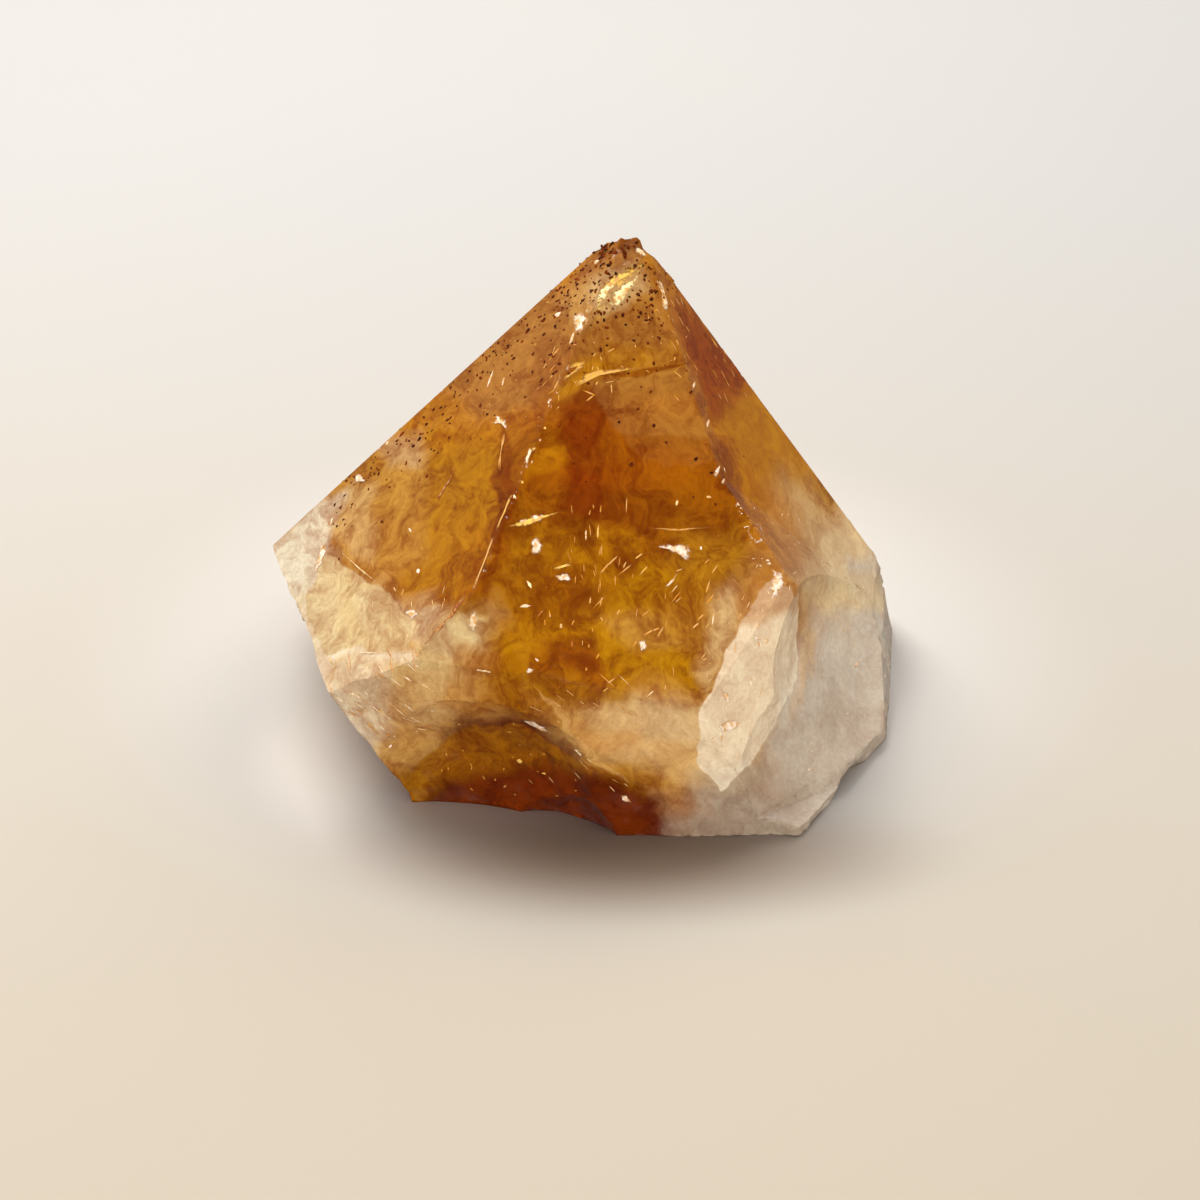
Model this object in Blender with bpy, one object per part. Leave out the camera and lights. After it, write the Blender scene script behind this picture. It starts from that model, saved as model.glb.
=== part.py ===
"""Citrine crystal point: the broken-off tip of one quartz crystal, standing on its cut base.

Lengths are written in millimetres and turned into metres as the mesh is made. +Z is up, -Y is the
front. The crystal is one solid. It starts as a block, six termination faces and a few flat breaks
are sliced off it, and closed cutters then take away the rough fractures, the hollows and the chips.
"""

import math
import random

import bmesh
import bpy
from mathutils import Euler, Matrix, Vector, noise

MM = 0.001
NAME = "citrine_point"
BLOCK = 160.0

# The growth axis leans away from the front and a little to the right, above a level cut base.
APEX = Vector((1.95, -3.5, 42.2))
LEAN_BACK = math.radians(10.0)
TILT_RIGHT = math.radians(6.7)
# Every termination face of quartz lies at this angle to the growth axis, 60 degrees from the next.
FACE_ANGLE = 51.8
TWIST = 6.0
# Each face: its turn in steps of 60 degrees, how far it strays from the ideal turn and angle, and
# how far it grew past the apex. Because the faces grew unevenly, the tip is a short chisel edge.
TERMINATION = {
    "left": (-1, -1.5, 0.0, 0.0),
    "front": (0, -1.3, -0.4, 0.0),
    "right": (1, -1.7, 0.8, 1.4),
    "back_right": (2, -1.2, 0.0, 0.73),
    "back": (3, 0.0, 0.0, -0.3),
    "back_left": (4, 3.7, 0.0, 0.5),
}

# Flat breaks and narrow facets, each with a point on it and its outward direction.
FLAT_BREAKS = {
    "front_wall": ((9.0, -34.9, 13.0), (-0.02, -0.995, 0.10)),
    "front_left_wall": ((-12.0, -33.0, 8.0), (-0.24, -0.97, 0.02)),
    "left_undercut": ((-24.8, -27.5, 11.9), (-0.845, -0.225, -0.483)),
    "left_step": ((-24.8, -15.2, 17.2), (-0.590, -0.353, 0.728)),
    "left_low_step": ((-17.8, -25.35, 17.95), (-0.573, -0.373, 0.731)),
    "notch_facet": ((-10.6, -29.5, 21.5), (-0.204, -0.804, 0.557)),
    "right_wall": ((27.1, -10.8, 4.0), (0.965, -0.12, 0.22)),
    "flange_edge": ((21.9, -29.3, 0.0), (0.85, -0.53, 0.0)),
    "back_wall": ((0.0, 14.6, 5.0), (0.03, 0.98, -0.16)),
    "back_left_wall": ((-22.5, 9.5, 6.0), (-0.78, 0.58, -0.22)),
    "back_right_wall": ((19.5, 8.0, 3.0), (0.82, 0.56, 0.08)),
}

# The right face swells out below this bend of its front ridge, down to its lowest corner.
RIDGE_BEND = Vector((10.4, -19.0, 26.6))
SHOULDER_FRONT = Vector((16.5, -25.15, 19.8))
SHOULDER_LOW = Vector((26.1, -11.3, 7.9))
# The pale facet at the right of the front wall, and the flange that sticks out under it.
PALE_FACET = ((16.5, -25.15, 19.8), (0.59, -0.73, 0.346))
FLANGE_TOP = ((16.0, -35.0, 1.5), (0.24, -0.14, 0.96))

# Rough fractures: a point, the outward direction, half width, half height, roughness, step height.
ROUGH_BREAKS = {
    "front_left": ((-12.0, -33.0, 7.0), (-0.24, -0.97, 0.02), 17.0, 14.0, 0.30, 0.22),
    "front": ((9.0, -35.2, 7.0), (-0.02, -0.995, 0.10), 18.0, 13.0, 0.22, 0.10),
    "left": ((-25.6, -20.0, 9.8), (-0.845, -0.225, -0.483), 24.0, 16.0, 0.30, 0.25),
    "back": ((0.0, 14.0, 5.0), (0.03, 0.98, -0.16), 30.0, 13.0, 0.55, 0.60),
    "back_left": ((-22.1, 9.2, 6.0), (-0.78, 0.58, -0.22), 18.0, 14.0, 0.50, 0.55),
    "back_right": ((19.1, 7.7, 3.0), (0.82, 0.56, 0.08), 16.0, 12.0, 0.45, 0.40),
    "right": ((27.1, -10.8, 4.0), (0.965, -0.12, 0.22), 16.0, 9.0, 0.15, 0.08),
    "flange": ((21.9, -29.3, 0.0), (0.85, -0.53, 0.0), 14.0, 5.0, 0.35, 0.20),
}
ROUGH_CELL = 1.5
ROUGH_THICKNESS = 14.0

# Shell-shaped hollows: centre, radii, turn in degrees about X, Y and Z, and ripple height.
HOLLOWS = {
    "front_left_scoop": ((-12.0, -42.8, 5.0), (17.5, 11.9, 13.5), (0, 0, -13), 0.16),
    "front_arch": ((-6.0, -45.0, -1.0), (10.5, 12.4, 10.5), (0, 0, -8), 0.10),
    "right_trough": ((29.2, -28.0, 14.6), (12.8, 27.0, 14.2), (0, 0, -24), 0.16),
    "low_trough": ((23.6, -34.0, 9.9), (9.0, 27.0, 9.1), (8, 0, -39), 0.14),
    "right_foot": ((37.2, -11.0, 7.5), (11.5, 12.0, 7.0), (0, 0, -8), 0.10),
    "flange_bite": ((24.7, -29.7, -0.6), (3.6, 4.6, 3.0), (0, 0, -32), 0.05),
    "back_scoop_high": ((8.0, 25.0, 9.0), (15.0, 12.6, 10.0), (0, 0, 12), 0.22),
    "back_scoop_low": ((-12.0, 24.0, 2.0), (11.0, 11.0, 9.0), (0, 0, -10), 0.18),
    "back_left_scoop": ((-36.0, 7.0, 4.0), (11.0, 14.0, 8.0), (0, 0, 20), 0.20),
    "base_gap_left": ((-13.5, -34.6, -3.0), (8.5, 5.0, 3.5), (0, 0, -13), 0.04),
    "base_gap_back": ((6.0, 18.0, -2.6), (9.0, 6.0, 3.4), (0, 0, 0), 0.04),
}
HOLLOW_SUBDIVISIONS = 5
RIPPLE_STEP = 0.16

# Chips along the edges where two termination faces meet: the height where each edge starts and
# ends, how many chips, and their largest radius.
CHIPPED_RIDGES = {
    ("left", "front"): (41.3, 21.8, 26, 0.42),
    ("front", "right"): (40.3, 26.8, 20, 0.38),
    ("right", "back_right"): (40.5, 12.5, 18, 0.34),
    ("back_right", "back"): (40.0, 10.0, 14, 0.38),
    ("back", "back_left"): (40.5, 13.0, 12, 0.38),
    ("back_left", "left"): (41.0, 15.5, 18, 0.30),
}
# The same along two edges that are no termination ridges: start, end, count, largest radius.
CHIPPED_EDGES = (
    (RIDGE_BEND, SHOULDER_FRONT, 14, 0.55),
    (Vector((-16.0, -31.6, 16.5)), Vector((-10.6, -29.5, 21.5)), 6, 0.45),
)
CHIP_DEPTH = 0.55

AMBER = (0.72, 0.36, 0.08, 1.0)
AMBER_ROUGHNESS = 0.12
QUARTZ_IOR = 1.544


def clear_scene():
    for obj in list(bpy.data.objects):
        bpy.data.objects.remove(obj, do_unlink=True)


def termination_plane(step, stray_turn, stray_angle, growth):
    """A point on a termination face and its outward direction, with the growth axis leaned over."""
    turn = math.radians(60.0 * step + TWIST + stray_turn)
    angle = math.radians(FACE_ANGLE + stray_angle)
    across = math.sin(angle)
    outward = Vector((math.sin(turn) * across, -math.cos(turn) * across, math.cos(angle)))
    outward.rotate(Euler((-LEAN_BACK, TILT_RIGHT, 0.0), "XYZ"))
    return APEX + outward * growth, outward


def plane_through(first, second, third):
    """A plane through three points, its direction pointing up."""
    direction = (second - first).cross(third - first).normalized()
    return first, direction if direction.z > 0 else -direction


def slice_off(mesh, point, direction):
    """Cuts the closed mesh by a plane, drops what lies outside and closes the cut."""
    geometry = mesh.verts[:] + mesh.edges[:] + mesh.faces[:]
    cut = bmesh.ops.bisect_plane(
        mesh, geom=geometry, dist=1e-5, plane_co=point, plane_no=direction, clear_outer=True
    )
    rim = [item for item in cut["geom_cut"] if isinstance(item, bmesh.types.BMEdge)]
    if rim:
        bmesh.ops.contextual_create(mesh, geom=rim)


def block():
    mesh = bmesh.new()
    bmesh.ops.create_cube(mesh, size=BLOCK)
    return mesh


def add_object(name, mesh):
    """Scales the mesh from millimetres to metres and links it as an object."""
    bmesh.ops.scale(mesh, vec=(MM, MM, MM), verts=mesh.verts)
    bmesh.ops.recalc_face_normals(mesh, faces=mesh.faces)
    data = bpy.data.meshes.new(name)
    mesh.to_mesh(data)
    mesh.free()
    obj = bpy.data.objects.new(name, data)
    bpy.context.collection.objects.link(obj)
    return obj


def subtract(body, name, mesh):
    """Makes the mesh a hidden cutter and takes it away from the body."""
    cutter = add_object("cut_" + name, mesh)
    cutter.hide_render = True
    cutter.display_type = "WIRE"
    modifier = body.modifiers.new(name, "BOOLEAN")
    modifier.operation = "DIFFERENCE"
    modifier.solver = "EXACT"
    modifier.object = cutter


def crystal_core():
    """The block cut to the termination, the flat breaks and the level base."""
    mesh = block()
    for name, settings in TERMINATION.items():
        if name != "right":
            slice_off(mesh, *termination_plane(*settings))
    for point, direction in FLAT_BREAKS.values():
        slice_off(mesh, Vector(point), Vector(direction).normalized())
    slice_off(mesh, Vector((0, 0, 0)), Vector((0, 0, -1)))
    return add_object(NAME, mesh)


def wedge(first, second):
    """What lies outside both planes, each given by a point on it and its outward direction."""
    mesh = block()
    for point, direction in (first, second):
        slice_off(mesh, Vector(point), -Vector(direction))
    return mesh


def right_face_wedge():
    """The right termination face above the bend, and the swollen shoulder below it."""
    shoulder = plane_through(RIDGE_BEND, SHOULDER_FRONT, SHOULDER_LOW)
    return wedge(termination_plane(*TERMINATION["right"]), shoulder)


def fracture_height(place, roughness, step_height, seed):
    """How far a broken surface stands proud at a place: rolling, with a few flat-topped steps."""
    shifted = place + Vector((seed * 7.3, seed * 3.1, seed * 5.7))
    rolling = noise.fractal(shifted * 0.16, 0.9, 2.1, 4)
    steps = noise.noise(shifted * 0.11 + Vector((9.0, 4.0, 2.0))) * 4.0
    return roughness * rolling * 2.0 + step_height * (round(steps) - steps * 0.4)


def rough_slab(point, direction, half_width, half_height, roughness, step_height, seed):
    """A thick slab whose inner side is a fracture, and which takes away all that lies beyond it."""
    outward = Vector(direction).normalized()
    facing = outward.to_track_quat("Z", "Y")
    mesh = bmesh.new()
    columns, rows = round(2 * half_width / ROUGH_CELL), round(2 * half_height / ROUGH_CELL)
    bmesh.ops.create_grid(mesh, x_segments=columns, y_segments=rows, size=0.5)
    inner = mesh.verts[:]
    bmesh.ops.scale(mesh, vec=(2 * half_width, 2 * half_height, 1), verts=inner)
    bmesh.ops.rotate(mesh, matrix=facing.to_matrix(), verts=inner)
    bmesh.ops.translate(mesh, vec=Vector(point), verts=inner)
    outer = bmesh.ops.extrude_face_region(mesh, geom=mesh.faces[:])["geom"]
    outer = [item for item in outer if isinstance(item, bmesh.types.BMVert)]
    bmesh.ops.translate(mesh, vec=outward * ROUGH_THICKNESS, verts=outer)
    kept = set(outer)
    for vert in mesh.verts:
        if vert not in kept:
            vert.co += outward * fracture_height(vert.co, roughness, step_height, seed)
    bmesh.ops.triangulate(mesh, faces=mesh.faces)
    return mesh


def hollow(centre, radii, turn, ripple, seed):
    """An ellipsoid with the rounded ripples of a shell-shaped fracture spreading from one side."""
    mesh = bmesh.new()
    bmesh.ops.create_icosphere(mesh, subdivisions=HOLLOW_SUBDIVISIONS, radius=1.0)
    start = Vector((0.6, 0.5, -0.62)).normalized()
    size = max(radii)
    for vert in mesh.verts:
        spread = vert.co.angle(start)
        wave = math.sin(spread / RIPPLE_STEP + 2.0 * noise.noise(vert.co * 2.0 + Vector((seed, 0, 0))))
        grain = noise.fractal(vert.co * 5.0 + Vector((0, seed, 0)), 0.9, 2.0, 3)
        vert.co *= 1.0 + ripple * (wave * 0.6 + grain) / size
    bmesh.ops.scale(mesh, vec=radii, verts=mesh.verts)
    spin = Euler([math.radians(angle) for angle in turn], "XYZ").to_matrix()
    bmesh.ops.rotate(mesh, matrix=spin, verts=mesh.verts)
    bmesh.ops.translate(mesh, vec=Vector(centre), verts=mesh.verts)
    return mesh


def ridge_point(first, second, height):
    """Where two termination faces meet at this height."""
    planes = [termination_plane(*TERMINATION[name]) for name in (first, second)]
    planes.append((Vector((0, 0, height)), Vector((0, 0, 1))))
    directions = Matrix([direction for _, direction in planes])
    return directions.inverted() @ Vector([point.dot(direction) for point, direction in planes])


def chips(chooser):
    """Small angular bites along the ridges, none of which touches another."""
    edges = list(CHIPPED_EDGES)
    for (first, second), (top, bottom, count, largest) in CHIPPED_RIDGES.items():
        ends = [ridge_point(first, second, height) for height in (top, bottom)]
        edges.append((*ends, count, largest))
    mesh = bmesh.new()
    taken = []
    for start, end, count, largest in edges:
        for _ in range(count):
            radius = largest * chooser.uniform(0.45, 1.0)
            place = start.lerp(end, chooser.uniform(0.01, 0.99))
            length = chooser.uniform(1.0, 2.6)
            reach = radius * length
            if any((place - other).length < reach + other_reach for other, other_reach in taken):
                continue
            taken.append((place, reach))
            add_chip(mesh, place, end - start, radius, length, chooser)
    return mesh


def add_chip(mesh, place, along, radius, length, chooser):
    """One low-sided lump, drawn out along its ridge and sunk by part of its depth."""
    lump = bmesh.ops.create_icosphere(mesh, subdivisions=1, radius=radius)["verts"]
    for vert in lump:
        vert.co *= chooser.uniform(0.75, 1.15)
    bmesh.ops.scale(mesh, vec=(1.0, 1.0, length), verts=lump)
    bmesh.ops.rotate(mesh, matrix=along.to_track_quat("Z", "Y").to_matrix(), verts=lump)
    outward = Vector((place.x - APEX.x, place.y - 1.0, 14.0)).normalized()
    bmesh.ops.translate(mesh, vec=place + outward * radius * CHIP_DEPTH, verts=lump)


def citrine_material():
    material = bpy.data.materials.new("citrine")
    material.use_nodes = True
    shader = material.node_tree.nodes["Principled BSDF"]
    shader.inputs["Base Color"].default_value = AMBER
    shader.inputs["Roughness"].default_value = AMBER_ROUGHNESS
    shader.inputs["Metallic"].default_value = 0.0
    shader.inputs["IOR"].default_value = QUARTZ_IOR
    return material


def stand_on_origin(objects, body):
    """Moves everything so that the body's box stands centred on the origin."""
    bpy.context.view_layer.update()
    shape = body.evaluated_get(bpy.context.evaluated_depsgraph_get())
    corners = [Vector(corner) for corner in shape.bound_box]
    low = Vector([min(corner[axis] for corner in corners) for axis in range(3)])
    high = Vector([max(corner[axis] for corner in corners) for axis in range(3)])
    shift = Vector(((low.x + high.x) / 2, (low.y + high.y) / 2, low.z))
    for obj in objects:
        obj.location -= shift


def main():
    clear_scene()
    chooser = random.Random(7)
    body = crystal_core()
    subtract(body, "right_face", right_face_wedge())
    subtract(body, "pale_facet", wedge(PALE_FACET, FLANGE_TOP))
    for seed, (name, settings) in enumerate(ROUGH_BREAKS.items(), start=1):
        subtract(body, name + "_break", rough_slab(*settings, seed))
    for seed, (name, settings) in enumerate(HOLLOWS.items(), start=1):
        subtract(body, name, hollow(*settings, seed))
    subtract(body, "chips", chips(chooser))
    body.data.materials.append(citrine_material())
    stand_on_origin(list(bpy.data.objects), body)


main()
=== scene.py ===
"""Finish of the citrine crystal point: amber quartz with veils, glints, rust specks and a milky foot.

Run as a script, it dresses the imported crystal, which stays where it is. Places and sizes in the
tables below are millimetres in the crystal's own frame: +X right, -Y front, +Z up, the origin under
its middle.
"""

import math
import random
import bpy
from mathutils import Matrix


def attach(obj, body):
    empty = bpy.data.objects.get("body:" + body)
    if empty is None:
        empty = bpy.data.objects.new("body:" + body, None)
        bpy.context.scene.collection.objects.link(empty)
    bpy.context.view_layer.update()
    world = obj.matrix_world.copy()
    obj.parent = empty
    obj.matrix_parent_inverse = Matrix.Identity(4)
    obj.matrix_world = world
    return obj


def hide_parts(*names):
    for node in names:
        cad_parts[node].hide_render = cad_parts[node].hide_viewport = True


bl_info = {
    "name": "Citrine Point Finish",
    "version": (1, 0, 0),
    "blender": (4, 5, 0),
    "location": "View3D > Sidebar > Citrine",
    "description": "Dresses a packed citrine crystal point with its quartz, inclusions and stage",
    "category": "Object",
}

import bmesh
import bpy
from bpy.props import FloatProperty, FloatVectorProperty, IntProperty, PointerProperty
from mathutils import Matrix, Vector, noise
from mathutils.bvhtree import BVHTree

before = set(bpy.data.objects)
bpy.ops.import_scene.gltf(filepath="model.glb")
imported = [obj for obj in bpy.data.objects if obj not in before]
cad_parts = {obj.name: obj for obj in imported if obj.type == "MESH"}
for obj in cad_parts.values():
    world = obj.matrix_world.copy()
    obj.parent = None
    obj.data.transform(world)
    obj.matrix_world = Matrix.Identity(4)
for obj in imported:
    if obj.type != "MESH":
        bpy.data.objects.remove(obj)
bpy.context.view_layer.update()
NODE = "citrine_point"
BODY = "root"
MM = 0.001
LIT = "lit_by_front_glow"

# Colour zones inside the quartz, laid one over the other: centre, radii, colour, strength, softness
# of the edge as a share of the radius, and how cloudy the quartz is there, from 0, clear, to 1.
ZONES = {
    "left_amber": ((-14.5, -7.0, 22.5), (9.0, 9.0, 8.0), "honey", 0.9, 0.5, 0.50),
    "left_gold": ((-18.5, -6.0, 20.5), (4.5, 6.0, 4.0), "gold", 0.5, 0.6, 0.45),
    # These two zones paint a sheen: the tip's frosted skin with the pale room reflected on it.
    "tip_tan_sheen": ((2.5, 0.0, 38.0), (12.0, 11.0, 8.0), "tan", 0.9, 0.45, 0.55),
    "left_tan_sheen": ((-9.0, 0.5, 31.0), (9.0, 7.0, 7.0), "tan", 0.7, 0.45, 0.62),
    "core": ((1.0, -10.0, 27.5), (8.5, 8.5, 7.0), "orange", 0.85, 0.5, 0.55),
    "core_low": ((3.5, -15.5, 21.5), (7.0, 6.0, 4.5), "orange", 0.7, 0.6, 0.50),
    "right_dark": ((11.5, 2.5, 31.5), (4.5, 7.0, 6.5), "rust", 0.8, 0.5, 0.7),
    "right_olive": ((15.5, -1.0, 24.5), (5.5, 7.0, 6.0), "olive", 0.9, 0.5, 0.8),
    "golden_low": ((6.0, -20.0, 16.8), (9.0, 6.0, 4.6), "gold", 0.85, 0.6, 0.45),
    "golden_right": ((12.5, -15.5, 20.5), (5.0, 6.0, 4.5), "honey", 0.8, 0.5, 0.50),
    "right_haze": ((20.0, -4.0, 16.5), (6.5, 8.0, 5.5), "sand", 0.85, 0.5, 0.75),
    "right_cream": ((25.0, -3.0, 11.0), (6.5, 12.0, 6.0), "cream", 0.95, 0.45, 0.92),
    "left_pale": ((-22.5, -14.0, 13.0), (9.5, 7.5, 5.0), "pale", 0.9, 0.35, 0.75),
    "left_rim": ((-29.0, -3.5, 14.0), (5.5, 7.0, 5.5), "blush", 0.95, 0.5, 0.7),
    "notch_pale": ((-12.5, -20.5, 17.2), (4.2, 4.2, 2.9), "pale", 0.75, 0.5, 0.75),
    "tan_scoop": ((-16.5, -21.0, 9.5), (10.0, 7.0, 6.5), "sand", 0.9, 0.4, 0.70),
    "dark_scoop": ((-5.5, -23.5, 3.2), (9.8, 6.0, 8.0), "umber", 0.95, 0.3, 0.55),
    "dark_foot": ((3.0, -25.5, 1.0), (7.5, 4.0, 4.0), "umber", 0.9, 0.5, 0.60),
    "cloud": ((6.5, -25.0, 9.8), (6.0, 4.0, 4.0), "cream", 0.75, 0.6, 0.9),
    "cloud_left": ((0.5, -25.0, 11.0), (4.0, 3.5, 2.6), "sand", 0.7, 0.7, 0.8),
    "pale_facet": ((15.6, -19.0, 13.0), (3.6, 5.5, 8.0), "cream", 0.7, 0.4, 0.92),
    "facet_foot": ((12.0, -24.0, 8.0), (3.4, 4.0, 4.0), "cream", 0.8, 0.6, 0.95),
    "grey_trough": ((22.5, -17.0, 5.5), (7.5, 12.0, 9.0), "lilac", 0.95, 0.35, 0.93),
    "grey_foot": ((15.5, -26.5, 1.0), (6.0, 4.0, 3.5), "lilac", 0.9, 0.5, 0.93),
    "back_milk": ((6.0, 22.0, 3.0), (30.0, 9.0, 9.0), "cream", 0.9, 0.5, 0.9),
    "back_gold": ((-8.0, 15.0, 15.0), (11.0, 8.0, 8.0), "gold", 0.8, 0.5, 0.70),
    "back_tip": ((0.0, 9.0, 35.0), (9.0, 8.0, 7.0), "tan", 0.8, 0.5, 0.72),
    "back_dark": ((11.0, 13.0, 25.0), (7.0, 7.0, 8.0), "orange", 0.6, 0.5, 0.70),
    "left_back": ((-21.0, 9.0, 15.0), (10.0, 10.0, 9.0), "sand", 0.6, 0.5, 0.78),
    "left_base": ((-29.0, 5.0, 4.0), (7.0, 16.0, 7.0), "pale", 0.85, 0.45, 0.85),
    "right_base": ((27.0, 3.0, 2.5), (8.0, 17.0, 7.0), "lilac", 0.9, 0.5, 0.93),
}
# How cloudy the quartz is outside every zone.
BASE_CLOUD = 0.5

# The camera looks down at the crystal from the front. Its distance and target are in millimetres.
CAMERA_ELEVATION = math.radians(35.0)
CAMERA_DISTANCE = 240.65
CAMERA_TARGET = Vector((0.79, 10.5, 0.0))
CAMERA_FIELD = math.radians(28.0)
SENSOR = 36.0
VIEW_AHEAD = Vector((0.0, math.cos(CAMERA_ELEVATION), -math.sin(CAMERA_ELEVATION)))
VIEW_UP = Vector((0.0, math.sin(CAMERA_ELEVATION), math.cos(CAMERA_ELEVATION)))
VIEW_RIGHT = Vector((1.0, 0.0, 0.0))
EYE = CAMERA_TARGET - VIEW_AHEAD * CAMERA_DISTANCE

# The tables from here on place things as the camera sees them, in steps from the left edge and from
# the top of its view. Each is cast onto the crystal and stays there, whatever camera looks at it.
VIEW_STEPS = 1200.0
# How much of the crystal one step covers, in millimetres.
STEP_SIZE = 0.1

# Ridges whose edge is chipped white: start, end, how wide the chipping runs in millimetres, and
# how much of the ridge it covers, from 0 to 1.
RIDGES = (
    ((549, 402), (514, 492), 0.24, 0.30),
    ((560, 378), (549, 402), 0.2, 0.3),
    ((657, 272), (669, 312), 0.35, 0.45),
    ((669, 312), (722, 462), 0.16, 0.3),
    ((722, 462), (740, 505), 0.28, 0.3),
    ((740, 505), (782, 582), 0.5, 0.34),
)
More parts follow.
